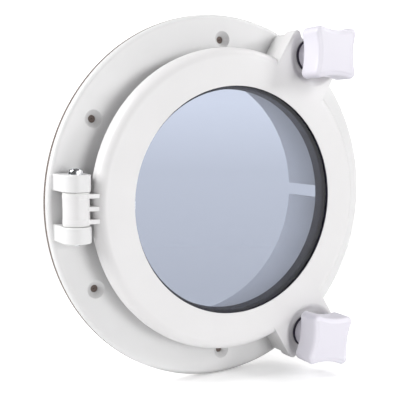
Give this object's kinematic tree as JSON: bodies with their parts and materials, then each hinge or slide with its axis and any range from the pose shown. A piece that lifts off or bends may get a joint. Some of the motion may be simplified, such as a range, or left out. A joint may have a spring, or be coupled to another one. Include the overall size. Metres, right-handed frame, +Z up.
{
  "type": "porthole window",
  "caption": "Round opening porthole: flanged frame with spigot and drain slot, and a glazed lid on a side hinge held shut by two star knobs.",
  "frame": {"origin": "centre of the wall cut-out on the wall's surface, where the gasket lies", "axes": "+Z up, +Y through the wall to the outside along the spigot, -Y into the room, hinge at -X"},
  "size_m": [0.2794, 0.102, 0.2794],
  "materials": {
    "frame_plastic": "moulded white ABS, satin",
    "lid_plastic": "moulded white ABS, satin",
    "knob_plastic": "cool white nylon, semi-gloss",
    "bush_plastic": "natural acetal",
    "wall_gasket": "grey-brown closed-cell foam rubber",
    "black_rubber": "black rubber",
    "glass": "blue-grey tinted toughened glass",
    "steel": "polished stainless steel",
    "brass": "turned brass"
  },
  "bodies": {
    "frame": {"base_frame": "frame_plastic", "wall_gasket": "wall_gasket", "insert_upper": "brass", "insert_lower": "brass", "hinge_screw": "steel", "hinge_insert": "brass"},
    "lid": {"lid_ring": "lid_plastic", "glass_pane": "glass", "glazing_seal": "black_rubber", "lid_seal": "black_rubber", "hinge_bush_top": "bush_plastic", "hinge_bush_bottom": "bush_plastic"},
    "upper_collar": {"washer_upper": "black_rubber", "clip_upper": "steel"},
    "upper_knob": {"knob_upper": "knob_plastic", "stud_upper": "steel"},
    "lower_collar": {"washer_lower": "black_rubber", "clip_lower": "steel"},
    "lower_knob": {"knob_lower": "knob_plastic", "stud_lower": "steel"}
  },
  "joints": [
    {"name": "lid_hinge", "type": "hinge", "parent": "frame", "child": "lid", "pos_m": [-0.1245, -0.024, 0], "axis": [0, 0, -1], "range_deg": [0, 170]},
    {"name": "upper_knob_travel", "type": "slide", "parent": "lid", "child": "upper_collar", "axis": [0, -1, 0], "range_m": [0, 0.005]},
    {"name": "upper_knob_spin", "type": "hinge", "parent": "upper_collar", "child": "upper_knob", "pos_m": [0.06889, -0.03, 0.11025], "axis": [0, -1, 0], "range_deg": [0, 1800]},
    {"name": "lower_knob_travel", "type": "slide", "parent": "lid", "child": "lower_collar", "axis": [0, -1, 0], "range_m": [0, 0.005]},
    {"name": "lower_knob_spin", "type": "hinge", "parent": "lower_collar", "child": "lower_knob", "pos_m": [0.06889, -0.03, -0.11025], "axis": [0, -1, 0], "range_deg": [0, 1800]}
  ],
  "couplings": [
    {"joint": "upper_knob_travel", "follows": "upper_knob_spin", "m_per_rad": 0.00015915},
    {"joint": "lower_knob_travel", "follows": "lower_knob_spin", "m_per_rad": 0.00015915}
  ]
}
